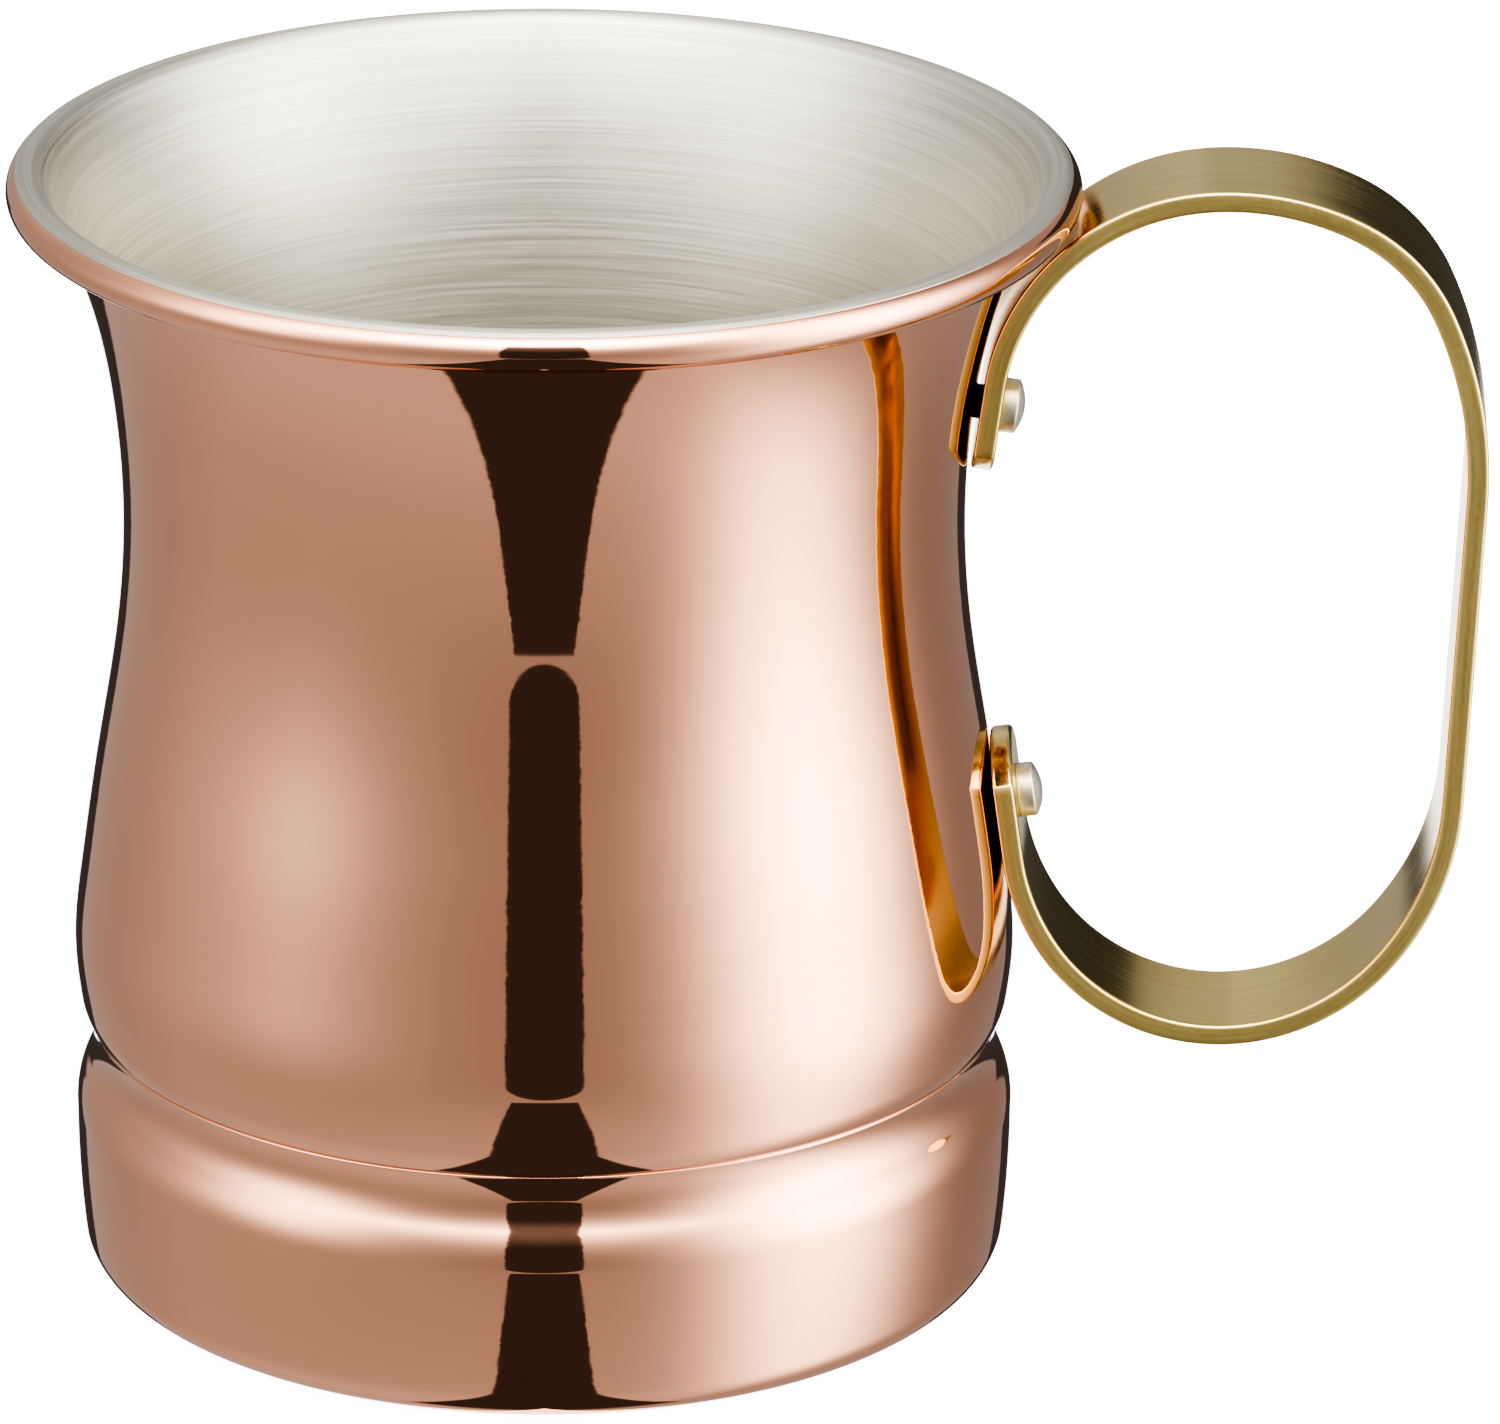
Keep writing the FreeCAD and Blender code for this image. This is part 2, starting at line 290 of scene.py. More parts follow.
def outward_vector(heading):
    return heading_vector(heading - 90)


def strap_path():
    """Places along the strap's centreline: (distance, point, heading) at close steps."""
    stretches = [(UPPER_LEG_LENGTH, UPPER_LEG_HEADING, UPPER_LEG_HEADING)]
    heading = UPPER_LEG_HEADING
    for radius, turned in UPPER_BENDS:
        stretches.append((radius * math.radians(turned - heading), heading, turned))
        heading = turned
    stretches.append((GRIP_LENGTH, heading, heading))
    for radius, turned in LOWER_BENDS:
        stretches.append((radius * math.radians(turned - heading), heading, turned))
        heading = turned
    point = np.array([STRAP_START_RADIUS, UPPER_END_HEIGHT])
    path = [(0.0, point, UPPER_LEG_HEADING)]
    for length, start, end in stretches:
        path += walk(path[-1], length, start, end)
    rise = LOWER_END_HEIGHT - path[-1][1][1]
    path += walk(path[-1], rise / heading_vector(LOWER_LEG_HEADING)[1], heading, heading)
    return path


def walk(place, length, start, end):
    """Places along one straight or round stretch, after the place that it starts from."""
    distance, point, _ = place
    count = max(1, round(length / STRAP_STEP))
    turn = math.radians(end - start)
    places = []
    for i in range(1, count + 1):
        part = i / count
        heading = start + (end - start) * part
        if turn:
            radius = length / turn
            spot = point + radius * (outward_vector(heading) - outward_vector(start))
        else:
            spot = point + heading_vector(start) * length * part
        places.append((distance + length * part, spot, heading))
    return places


def strap_object():
    """The strap as rings round its rounded plan outline, closed by a grid on each broad face."""
    path = strap_path()
    distances = np.array([place[0] for place in path])
    spots = np.array([place[1] for place in path])
    headings = np.unwrap(np.radians([place[2] for place in path]))
    length = distances[-1]
    columns = np.linspace(-1, 1, STRAP_ACROSS + 1)
    columns = np.sin(columns * math.pi / 2)
    rows = len(path)
    steps = distances / length

    def sheet_point(row, column, inset, lift):
        half = STRAP_WIDTH / 2 - inset
        w = column * half
        back = STRAP_END_RADIUS - math.sqrt((STRAP_END_RADIUS - inset) ** 2 - w * w)
        s = back + row * (length - 2 * back)
        x = np.interp(s, distances, spots[:, 0])
        z = np.interp(s, distances, spots[:, 1])
        heading = np.interp(s, distances, headings)
        out = (math.sin(heading - math.pi / 2), math.cos(heading - math.pi / 2))
        return (x + out[0] * lift, w, z + out[1] * lift), (w, lift, s)

    border = [(0, c) for c in range(STRAP_ACROSS + 1)]
    border += [(r, STRAP_ACROSS) for r in range(1, rows)]
    border += [(rows - 1, c) for c in range(STRAP_ACROSS - 1, -1, -1)]
    border += [(r, 0) for r in range(rows - 2, 0, -1)]
    levels = []
    quarter = np.radians(np.linspace(0, 90, 6))
    flat = STRAP_THICK / 2 - STRAP_EDGE_RADIUS
    for side in (-1, 1):
        part = [
            (STRAP_EDGE_RADIUS * (1 - math.cos(a)), side * (flat + STRAP_EDGE_RADIUS * math.sin(a)))
            for a in quarter
        ]
        levels += part[::-1] if side < 0 else part
    points, grain, faces = [], [], []
    for inset, lift in levels:
        for row, column in border:
            p, g = sheet_point(steps[row], columns[column], inset, lift)
            points.append(p)
            grain.append(g)
    count = len(border)
    for level in range(len(levels) - 1):
        for j in range(count):
            k = (j + 1) % count
            low, high = level * count, (level + 1) * count
            faces.append((low + j, low + k, high + k, high + j))
    for level, flip in ((0, False), (len(levels) - 1, True)):
        inset, lift = levels[level]
        index = {place: level * count + j for j, place in enumerate(border)}
        for r in range(1, rows - 1):
            for c in range(1, STRAP_ACROSS):
                p, g = sheet_point(steps[r], columns[c], inset, lift)
                index[r, c] = len(points)
                points.append(p)
                grain.append(g)
        for r in range(rows - 1):
            for c in range(STRAP_ACROSS):
                quad = (index[r, c], index[r + 1, c], index[r + 1, c + 1], index[r, c + 1])
                faces.append(quad[::-1] if flip else quad)
    return mesh_object("handle_strap", points, faces, grain), path


def rivet_outline():
    """From the tail's tip inside the cup to the button's tip: (radius, height above the strap)."""
    depth = STRAP_THICK + COPPER_THICK + LINING_THICK
    tail_base = -depth + RIVET_TAIL_SINK
    rise = RIVET_TAIL_HEIGHT + RIVET_TAIL_SINK
    tail_dome = (RIVET_TAIL_RADIUS**2 + rise**2) / (2 * rise)
    tail_edge = math.degrees(math.asin(RIVET_TAIL_RADIUS / tail_dome))
    tail_centre = (0, tail_base - rise + tail_dome)
    shoulder = (RIVET_HEAD_RADIUS - RIVET_HEAD_SOFTENING, RIVET_HEAD_SIDE)
    edge = polar(shoulder, RIVET_HEAD_SOFTENING, RIVET_SHOULDER_ANGLE)
    sagitta = RIVET_HEAD_HEIGHT - edge[1]
    dome = (edge[0] ** 2 + sagitta**2) / (2 * sagitta)
    rim = math.degrees(math.asin((edge[1] - RIVET_HEAD_HEIGHT + dome) / dome))
    return np.concatenate(
        [
            arc(tail_centre, tail_dome, -90, -90 + tail_edge, 10),
            [(RIVET_SHANK_RADIUS, tail_base)],
            [(RIVET_SHANK_RADIUS, 0)],
            [(RIVET_HEAD_RADIUS - 0.06, 0), (RIVET_HEAD_RADIUS, 0.06)],
            [(RIVET_HEAD_RADIUS, RIVET_HEAD_SIDE * 0.5)],
            arc(shoulder, RIVET_HEAD_SOFTENING, 0, RIVET_SHOULDER_ANGLE, 7),
            arc((0, RIVET_HEAD_HEIGHT - dome), dome, rim, 90, 12)[1:],
        ]
    )


def rivet_object(name, seat, direction):
    """A rivet on its seat on the strap, with its head pointing that way."""
    piece = spun_object(name, rivet_outline(), AROUND_RIVET)
    place = Vector(direction).to_track_quat("Z", "Y").to_matrix().to_4x4()
    place.translation = Vector(seat) * MM
    piece.data.transform(place)
    return piece


# ---------------------------------------------------------------- materials


def new_material(name):
    """An empty material with its Principled shader, and a helper that adds nodes to it."""
    material = bpy.data.materials.new(name)
    material.use_nodes = True
    tree = material.node_tree
    shader = tree.nodes["Principled BSDF"]
    return material, tree, shader


def add(tree, kind, *inputs, **settings):
    """Adds a node; inputs are sockets or values in order, None leaves one alone."""
    node = tree.nodes.new(kind)
    for key, value in settings.items():
        setattr(node, key, value)
    for socket, value in zip([s for s in node.inputs if s.enabled], inputs):
        if isinstance(value, bpy.types.NodeSocket):
            tree.links.new(value, socket)
        elif value is not None:
            socket.default_value = value
    return node


def grain_place(tree, scale):
    """The flattened-sheet coordinate, stretched."""
    place = add(tree, "ShaderNodeAttribute", attribute_name="grain")
    return add(tree, "ShaderNodeVectorMath", place.outputs["Vector"], scale, operation="MULTIPLY").outputs[0]


def noise(tree, place, scale, detail=3.0, rough=0.5):
    node = add(tree, "ShaderNodeTexNoise")
    tree.links.new(place, node.inputs["Vector"])
    node.inputs["Scale"].default_value = scale
    node.inputs["Detail"].default_value = detail
    node.inputs["Roughness"].default_value = rough
    return node.outputs["Fac"]


def span(tree, value, low, high, start=0.0, end=1.0):
    """Maps a value from one range to another."""
    node = add(tree, "ShaderNodeMapRange")
    tree.links.new(value, node.inputs["Value"])
    for name, number in (("From Min", start), ("From Max", end), ("To Min", low), ("To Max", high)):
        node.inputs[name].default_value = number
    return node.outputs["Result"]


def mixed_colour(tree, share, first, second):
    node = tree.nodes.new("ShaderNodeMix")
    node.data_type = "RGBA"
    tree.links.new(share, node.inputs["Factor"])
    node.inputs[6].default_value = (*first, 1)
    node.inputs[7].default_value = (*second, 1)
    return node.outputs[2]


def bumped(tree, height, distance, strength=1.0, normal=None):
    node = add(tree, "ShaderNodeBump")
    tree.links.new(height, node.inputs["Height"])
    node.inputs["Distance"].default_value = distance
    node.inputs["Strength"].default_value = strength
    if normal:
        tree.links.new(normal, node.inputs["Normal"])
    return node.outputs["Normal"]


def copper_material():
    """Mirror-polished copper with the faint rings of its spinning and polishing."""
    material, tree, shader = new_material("polished_copper")
    rings = noise(tree, grain_place(tree, (14, 14, 700)), 1.0, 2.0)
    waves = noise(tree, grain_place(tree, (6, 6, 160)), 1.0, 1.0)
    cloud = noise(tree, grain_place(tree, (60, 60, 60)), 1.0, 3.0)
    colour = mixed_colour(tree, cloud, (0.93, 0.475, 0.31), (0.96, 0.505, 0.335))
    tree.links.new(colour, shader.inputs["Base Color"])
    tree.links.new(span(tree, rings, 0.02, 0.05, 0.3, 0.8), shader.inputs["Roughness"])

    # Fine sideways ripple from ring to ring, which frays the edges of the reflections
    ripple = noise(tree, grain_place(tree, (25, 25, 1100)), 1.0, 3.0, 0.7)
    ripple = maths(tree, "MULTIPLY", maths(tree, "SUBTRACT", ripple, 0.5), RIPPLE)
    round_cup = add(tree, "ShaderNodeTangent", direction_type="RADIAL", axis="Z").outputs[0]
    sideways = add(tree, "ShaderNodeVectorMath", round_cup, operation="SCALE")
    tree.links.new(ripple, sideways.inputs["Scale"])
    normal = bumped(tree, waves, 0.000004)
    normal = bumped(tree, rings, 0.0000004, normal=normal)
    tilted = add(tree, "ShaderNodeVectorMath", normal, sideways.outputs[0], operation="ADD").outputs[0]
    normal = add(tree, "ShaderNodeVectorMath", tilted, operation="NORMALIZE").outputs[0]
    tree.links.new(normal, shader.inputs["Normal"])
    shader.inputs["Metallic"].default_value = 1.0
    return material


def lining_material():
    """Satin tinned lining, brushed round the cup."""
    material, tree, shader = new_material("satin_lining")
    fine = noise(tree, grain_place(tree, (26, 26, 3600)), 1.0, 2.0, 0.6)
    short = noise(tree, grain_place(tree, (110, 110, 5200)), 1.0, 2.0, 0.6)
    lines = maths(tree, "MULTIPLY_ADD", short, 0.5, maths(tree, "MULTIPLY", fine, 0.5))
    share = span(tree, lines, 0.0, 1.0, 0.38, 0.62)
    colour = mixed_colour(tree, share, (0.57, 0.54, 0.46), (0.71, 0.68, 0.595))
    tree.links.new(colour, shader.inputs["Base Color"])
    tree.links.new(span(tree, short, 0.4, 0.5, 0.3, 0.7), shader.inputs["Roughness"])
    tree.links.new(bumped(tree, lines, 0.000006), shader.inputs["Normal"])
    shader.inputs["Metallic"].default_value = 1.0
    shader.inputs["Anisotropic"].default_value = 0.5
    shader.inputs["Anisotropic Rotation"].default_value = 0.25
    tangent = add(tree, "ShaderNodeTangent", direction_type="RADIAL", axis="Z")
    tree.links.new(tangent.outputs[0], shader.inputs["Tangent"])
    return material


def brass_material():
    """Satin brass strap, brushed along its length, with duller side faces."""
    material, tree, shader = new_material("satin_brass")
    streaks = noise(tree, grain_place(tree, (2600, 2600, 50)), 1.0, 3.0, 0.6)
    cloud = noise(tree, grain_place(tree, (90, 90, 90)), 1.0, 4.0)
    speck = noise(tree, grain_place(tree, (3200, 3200, 2400)), 1.0, 2.0)
    shade = maths(tree, "MULTIPLY_ADD", streaks, 0.6, maths(tree, "MULTIPLY", cloud, 0.4))
    shade = span(tree, shade, 0.0, 1.0, 0.35, 0.65)
    colour = mixed_colour(tree, shade, (0.74, 0.565, 0.215), (0.84, 0.665, 0.29))
    tree.links.new(colour, shader.inputs["Base Color"])
    across = add(tree, "ShaderNodeSeparateXYZ", grain_place(tree, (1000, 1000, 1000))).outputs[0]
    across = maths(tree, "ABSOLUTE", across)
    side = smooth_step(tree, across, STRAP_WIDTH / 2 - 0.2, STRAP_WIDTH / 2 - 0.02)
    grain = maths(tree, "MULTIPLY_ADD", speck, 0.5, maths(tree, "MULTIPLY", streaks, 0.5))
    grain = span(tree, grain, 0.0, 0.08, 0.35, 0.65)
    rough = mixed_number(tree, side, BROAD_FACE_ROUGHNESS, SIDE_FACE_ROUGHNESS)
    tree.links.new(maths(tree, "ADD", grain, rough), shader.inputs["Roughness"])
    normal = bumped(tree, streaks, 0.0000015)
    tree.links.new(bumped(tree, speck, 0.0000007, normal=normal), shader.inputs["Normal"])
    shader.inputs["Metallic"].default_value = 1.0
    return material


def rivet_material():
    """Satin silver-grey rivet metal with a fine random grain."""
    material, tree, shader = new_material("satin_rivet")
    speck = noise(tree, grain_place(tree, (1500, 1500, 1500)), 1.0, 3.0)
    colour = mixed_colour(tree, speck, (0.64, 0.60, 0.50), (0.78, 0.74, 0.64))
    tree.links.new(colour, shader.inputs["Base Color"])
    tree.links.new(span(tree, speck, 0.36, 0.48, 0.3, 0.7), shader.inputs["Roughness"])
    tree.links.new(bumped(tree, speck, 0.000003), shader.inputs["Normal"])
    shader.inputs["Metallic"].default_value = 1.0
    return material


# ---------------------------------------------------------------- studio


def maths(tree, operation, *inputs):
    return add(tree, "ShaderNodeMath", *inputs, operation=operation).outputs[0]


def smooth_step(tree, value, start, end):
    """0 before start and 1 after end, smoothly between."""
    node = add(tree, "ShaderNodeMapRange", interpolation_type="SMOOTHSTEP")
    tree.links.new(value, node.inputs["Value"])
    node.inputs["From Min"].default_value = start
    node.inputs["From Max"].default_value = end
    return node.outputs["Result"]


def window(tree, value, centre, half, soft):
    """1 within half of a centre, falling to 0 over the soft margin, in degrees."""
    away = maths(tree, "ABSOLUTE", maths(tree, "SUBTRACT", value, centre))
    return smooth_step(tree, away, half + soft, half)


# Soft lights round the mug, in degrees: azimuth from the front towards +X, elevation, spread
# across, spread up and down, and brightness
SOFT_LIGHTS = (
    (75, 11, 18, 28, 4.3),
    (75, -38, 16, 12, 0.5),
    (-60, 34, 14, 18, 2.0),
    (-66, 11, 16, 10, 0.7),
    (-80, -2, 28, 12, 0.14),
    (-95, 62, 24, 22, 0.5),
    (3, 62, 22, 18, 6.5),
    (183, 27, 25, 9, 0.2),
)

# Even light of the tent, lighter underneath and a little darker in front, behind and at the right
AMBIENT = 0.4
LOW_FILL = 0.14
LOW_FILL_START = -18
LOW_FILL_END = -62
FRONT_SHADE = 0.07
FRONT_SHADE_SPREAD = 20
FRONT_SHADE_HEIGHT = -8
FRONT_SHADE_TALL = 10
SIDE_SHADE = 0.05
SIDE_SHADE_START = 95
SIDE_SHADE_END = 130
RIGHT_SHADE = 0.08
RIGHT_SHADE_START = 85
RIGHT_SHADE_END = 110

# Dark gap in front: its half width, its foot with rounded corners, and the lighter part above
GAP_HALF_WIDTH = 9.2
GAP_LOW = -19.3
GAP_CORNER = 9.0
GAP_STRETCH = 1.8
GAP_FADE_START = 36.0
GAP_FADE_END = 60.0
GLOW_START = 14.0
GLOW_END = 36.0
GLOW_LIGHT = 0.16
GAP_LIGHT = 0.07
GAP_EDGE = 0.3

# Its continuation on the table: half width over the height of the mug, and how that grows
STRIP_RATIO = 0.25
STRIP_SPREAD = 0.046
STRIP_EDGE = 0.01
STRIP_TOP = GAP_LOW - 1.0
STRIP_END_START = -0.3
STRIP_END = -0.1

# Dark edges either side of the white backdrop, which reach higher on the handle's side
SIDE_GAP_START = 156.0
SIDE_GAP_END = 170.5
SIDE_GAP_FLARE = 1.0
SIDE_GAP_FLARE_HEIGHT = -14.0
SIDE_GAP_LOW = -36.0
SIDE_GAP_HIGH = 13.0
SIDE_GAP_HIGH_SOFT = 2.0
SIDE_GAP_LEFT_HIGH = -11.0
SIDE_GAP_SOFT = 1.5
SIDE_GAP_EDGE = 0.5
BACKDROP_TOP = -12.0
BACKDROP_TOP_SOFT = 4.0
BACKDROP_LIGHT = 1.8


def direction(azimuth, elevation):
    """The unit vector at some degrees from the front towards +X, and above the horizon."""
    a, e = math.radians(azimuth), math.radians(elevation)
    return Vector((math.sin(a) * math.cos(e), -math.cos(a) * math.cos(e), math.sin(e)))


def dot(tree, way, vector):
    node = add(tree, "ShaderNodeVectorMath", way, operation="DOT_PRODUCT")
    node.inputs[1].default_value = vector
    return node.outputs["Value"]


def bell(tree, value, spread):
    """1 at zero, falling off smoothly by the spread on both sides."""
    part = maths(tree, "DIVIDE", value, spread)
    return maths(tree, "EXPONENT", maths(tree, "MULTIPLY", maths(tree, "MULTIPLY", part, part), -0.5))


def soft_light(tree, way, azimuth, elevation, across, up, power):
    """The light of one soft box, seen along a direction from the mug."""
    ahead = dot(tree, way, direction(azimuth, elevation))
    aside = dot(tree, way, direction(azimuth + 90, 0))
    above = dot(tree, way, direction(azimuth, elevation + 90))
    u = maths(tree, "DEGREES", maths(tree, "ARCTAN2", aside, ahead))
    v = maths(tree, "DEGREES", maths(tree, "ARCSINE", above))
    both = maths(tree, "MULTIPLY", bell(tree, u, across), bell(tree, v, up))
    return maths(tree, "MULTIPLY", both, power)


def make_studio():
    """White tent with soft boxes at the sides, a dark gap in front and dark edges at the back."""
    world = bpy.data.worlds.new("studio")
    bpy.context.scene.world = world
    world.use_nodes = True
    tree = world.node_tree
    ground = tree.nodes["Background"]
    way = add(tree, "ShaderNodeTexCoord").outputs["Generated"]
    aside = dot(tree, way, direction(CAMERA_AZIMUTH + 90, 0))
    ahead = dot(tree, way, direction(CAMERA_AZIMUTH, 0))
    above = dot(tree, way, Vector((0, 0, 1)))
    azimuth = maths(tree, "DEGREES", maths(tree, "ARCTAN2", aside, ahead))
    elevation = maths(tree, "DEGREES", maths(tree, "ARCSINE", above))
    turned = maths(tree, "ABSOLUTE", azimuth)
    underneath = smooth_step(tree, elevation, LOW_FILL_START, LOW_FILL_END)
    light = maths(tree, "MULTIPLY_ADD", underneath, LOW_FILL, AMBIENT)
    lift = maths(tree, "SUBTRACT", elevation, FRONT_SHADE_HEIGHT)
    front = bell(tree, azimuth, FRONT_SHADE_SPREAD)
    front = maths(tree, "MULTIPLY", front, bell(tree, lift, FRONT_SHADE_TALL))
    light = maths(tree, "MULTIPLY_ADD", front, -FRONT_SHADE, light)
    back = smooth_step(tree, turned, SIDE_SHADE_START, SIDE_SHADE_END)
    light = maths(tree, "MULTIPLY_ADD", back, -SIDE_SHADE, light)
    right = smooth_step(tree, azimuth, RIGHT_SHADE_START, RIGHT_SHADE_END)
    light = maths(tree, "MULTIPLY_ADD", right, -RIGHT_SHADE, light)
    for settings in SOFT_LIGHTS:
        light = maths(tree, "ADD", light, soft_light(tree, way, *settings))

    # The gap in front, with rounded corners at its foot and a lighter upper part
    reach = maths(tree, "SUBTRACT", GAP_LOW + GAP_CORNER / GAP_STRETCH, elevation)
    reach = maths(tree, "MAXIMUM", maths(tree, "MULTIPLY", reach, GAP_STRETCH), 0.0)
    breadth = maths(tree, "MAXIMUM", maths(tree, "SUBTRACT", turned, GAP_HALF_WIDTH - GAP_CORNER), 0.0)
    square = maths(tree, "MULTIPLY", breadth, breadth)
    beyond = maths(tree, "SQRT", maths(tree, "MULTIPLY_ADD", reach, reach, square))
    gap = smooth_step(tree, beyond, GAP_CORNER + GAP_EDGE, GAP_CORNER - GAP_EDGE)
    gap = maths(tree, "MULTIPLY", gap, smooth_step(tree, elevation, GAP_FADE_END, GAP_FADE_START))
    glow = smooth_step(tree, elevation, GLOW_START, GLOW_END)
    inside = maths(tree, "MULTIPLY_ADD", glow, GLOW_LIGHT, GAP_LIGHT)

    # Its continuation on the table: a strip of one width on the table's plane
    below = maths(tree, "MAXIMUM", maths(tree, "MULTIPLY", above, -1.0), 0.001)
    sideways = maths(tree, "DIVIDE", maths(tree, "ABSOLUTE", aside), below)
    forwards = maths(tree, "DIVIDE", ahead, below)
    edge = maths(tree, "MULTIPLY_ADD", forwards, STRIP_SPREAD, STRIP_RATIO)
    strip = smooth_step(tree, maths(tree, "SUBTRACT", sideways, edge), STRIP_EDGE, -STRIP_EDGE)
    under = smooth_step(tree, elevation, STRIP_TOP, STRIP_TOP - GAP_EDGE)
    strip = maths(tree, "MULTIPLY", strip, under)
    strip = maths(tree, "MULTIPLY", strip, smooth_step(tree, ahead, STRIP_END_START, STRIP_END))
    light = mixed_number(tree, maths(tree, "MAXIMUM", gap, strip), light, inside)

    # Dark edges either side of the white backdrop
    climb = maths(tree, "MAXIMUM", maths(tree, "SUBTRACT", elevation, SIDE_GAP_FLARE_HEIGHT), 0.0)
    start = maths(tree, "MULTIPLY_ADD", climb, SIDE_GAP_FLARE, turned)
    sides = smooth_step(tree, start, SIDE_GAP_START - SIDE_GAP_SOFT, SIDE_GAP_START + SIDE_GAP_EDGE)
    beside = smooth_step(tree, turned, SIDE_GAP_END + SIDE_GAP_EDGE, SIDE_GAP_END - SIDE_GAP_EDGE)
    sides = maths(tree, "MULTIPLY", sides, beside)
    height = (SIDE_GAP_LOW + SIDE_GAP_HIGH) / 2
    half = SIDE_GAP_HIGH - height
    sides = maths(tree, "MULTIPLY", sides, window(tree, elevation, height, half, SIDE_GAP_HIGH_SOFT))
    left_low = SIDE_GAP_LEFT_HIGH - SIDE_GAP_HIGH_SOFT
    left_high = SIDE_GAP_LEFT_HIGH + SIDE_GAP_HIGH_SOFT
    over_left = smooth_step(tree, elevation, left_low, left_high)
    over_left = maths(tree, "MULTIPLY", over_left, smooth_step(tree, azimuth, 1.0, -1.0))
    sides = maths(tree, "MULTIPLY", sides, maths(tree, "SUBTRACT", 1.0, over_left))
    behind = smooth_step(tree, turned, SIDE_GAP_END - SIDE_GAP_EDGE, SIDE_GAP_END + SIDE_GAP_EDGE)
    top, foot = BACKDROP_TOP + BACKDROP_TOP_SOFT, BACKDROP_TOP - BACKDROP_TOP_SOFT
    low = smooth_step(tree, elevation, top, foot)
    light = mixed_number(tree, maths(tree, "MULTIPLY", behind, low), light, BACKDROP_LIGHT)
    light = mixed_number(tree, sides, light, GAP_LIGHT)
    tree.links.new(light, ground.inputs["Strength"])
    ground.inputs["Color"].default_value = (1, 1, 1, 1)


def mixed_number(tree, share, first, second):
    node = tree.nodes.new("ShaderNodeMix")
    node.data_type = "FLOAT"
    for name, value in (("Factor", share), ("A", first), ("B", second)):
        socket = node.inputs[name]
        if isinstance(value, bpy.types.NodeSocket):
            tree.links.new(value, socket)
        else:
            socket.default_value = value
    return node.outputs[0]


# Studio floor, in metres
FLOOR_RADIUS = 2.0
FLOOR_MIDDLE_RADIUS = 1.2
FLOOR_SWEEP = 0.5
WALL_HEIGHT = 2.5
FLOOR_DROP = 0.00005
FLOOR_GLOW = 2.6
AROUND_FLOOR = 96


def make_backdrop():
    """A round pale floor that sweeps up into a wall. Only the camera sees it."""
    sweep = arc((FLOOR_RADIUS, FLOOR_SWEEP), FLOOR_SWEEP, -80, 0, 9)
    profile = [(0.0, 0.0), (FLOOR_MIDDLE_RADIUS, 0.0), (FLOOR_RADIUS, 0.0), *sweep]
    profile += [(FLOOR_RADIUS + FLOOR_SWEEP, WALL_HEIGHT)]
    turns = AROUND_FLOOR
    points = [(0, 0, 0)]
    for radius, height in profile[1:]:
        for i in range(turns):
            angle = 2 * math.pi * i / turns
            points.append((radius * math.cos(angle), radius * math.sin(angle), height))
    faces = []
    for j in range(turns):
        k = (j + 1) % turns
        faces.append((0, 1 + j, 1 + k))
        for i in range(len(profile) - 2):
            low, high = 1 + i * turns, 1 + (i + 1) * turns
            faces.append((low + j, high + j, high + k, low + k))
    mesh = bpy.data.meshes.new("studio_floor")
    mesh.from_pydata(points, [], faces)
    mesh.polygons.foreach_set("use_smooth", [True] * len(mesh.polygons))
    floor = bpy.data.objects.new("studio_floor", mesh)
    bpy.context.collection.objects.link(floor)
    floor.location.z = -FLOOR_DROP
    floor.visible_glossy = False
    floor.visible_diffuse = False
    floor.visible_shadow = False
    material, tree, shader = new_material("pale_floor")
    shader.inputs["Base Color"].default_value = (0.8, 0.8, 0.8, 1)
    shader.inputs["Roughness"].default_value = 0.9
    shader.inputs["Specular IOR Level"].default_value = 0.0
    shader.inputs["Emission Color"].default_value = (1, 1, 1, 1)
    shader.inputs["Emission Strength"].default_value = FLOOR_GLOW
    mesh.materials.append(material)


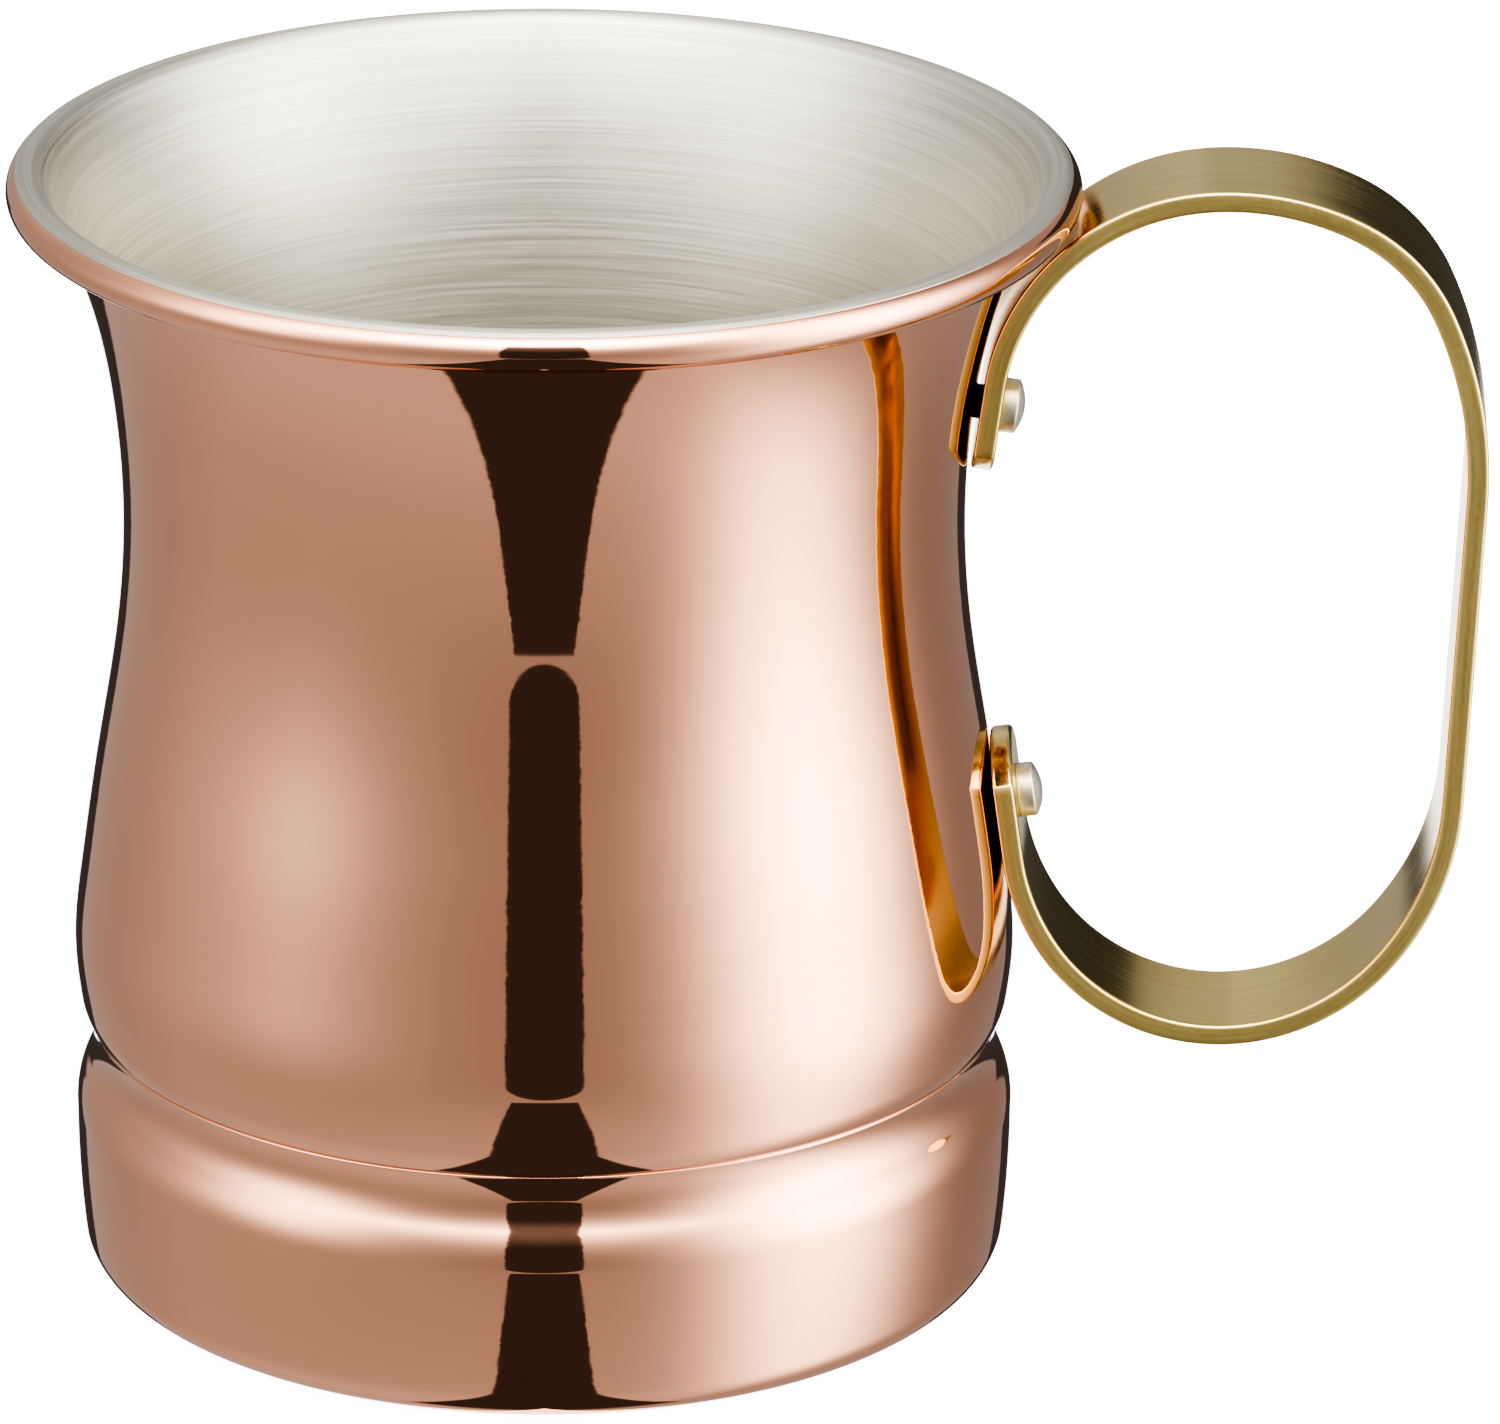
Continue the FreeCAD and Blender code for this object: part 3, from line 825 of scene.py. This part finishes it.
def make_camera():
    """Looks at the mug's axis from the photograph's angle, then pans to take in the handle."""
    data = bpy.data.cameras.new("camera")
    camera = bpy.data.objects.new("camera", data)
    bpy.context.collection.objects.link(camera)
    azimuth, elevation, pan = np.radians([CAMERA_AZIMUTH, CAMERA_ELEVATION, CAMERA_PAN])
    back = Vector(
        (
            math.sin(azimuth) * math.cos(elevation),
            -math.cos(azimuth) * math.cos(elevation),
            math.sin(elevation),
        )
    )
    place = (Vector((0, 0, CAMERA_AIM_HEIGHT)) + back * CAMERA_DISTANCE) * MM
    camera.matrix_world = (
        Matrix.Translation(place)
        @ Matrix.Rotation(azimuth, 4, "Z")
        @ Matrix.Rotation(math.pi / 2 - elevation, 4, "X")
        @ Matrix.Rotation(-pan, 4, "Y")
    )
    data.sensor_width = 36.0
    data.lens = CAMERA_LENS
    data.clip_start = 0.05
    data.clip_end = 20.0
    bpy.context.scene.camera = camera


# ---------------------------------------------------------------- the mug


def place_piece(piece, node, material):
    piece.data.materials.append(material)
    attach(piece, "root")
    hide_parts(node)


def make_mug():
    cup = spun_object("copper_cup", body_outline(), AROUND_CUP)
    place_piece(cup, "cup_body", copper_material())
    lining = spun_object("satin_lining", lining_outline(), AROUND_CUP)
    place_piece(lining, "cup_lining", lining_material())
    strap, path = strap_object()
    place_piece(strap, "handle", brass_material())
    metal = rivet_material()
    ends = (
        ("rivet_upper", path[0][1], heading_vector(UPPER_LEG_HEADING), UPPER_LEG_HEADING),
        ("rivet_lower", path[-1][1], -heading_vector(LOWER_LEG_HEADING), LOWER_LEG_HEADING),
    )
    for node, end, along, heading in ends:
        into_loop = -outward_vector(heading)
        seat = end + along * RIVET_END_DISTANCE + into_loop * STRAP_THICK / 2
        name = node.replace("rivet", "button_rivet")
        piece = rivet_object(name, (seat[0], 0, seat[1]), (into_loop[0], 0, into_loop[1]))
        place_piece(piece, node, metal)


make_camera()
make_studio()
make_backdrop()
make_mug()
bpy.context.scene.view_settings.view_transform = "AgX"
bpy.context.scene.view_settings.look = "AgX - Very High Contrast"
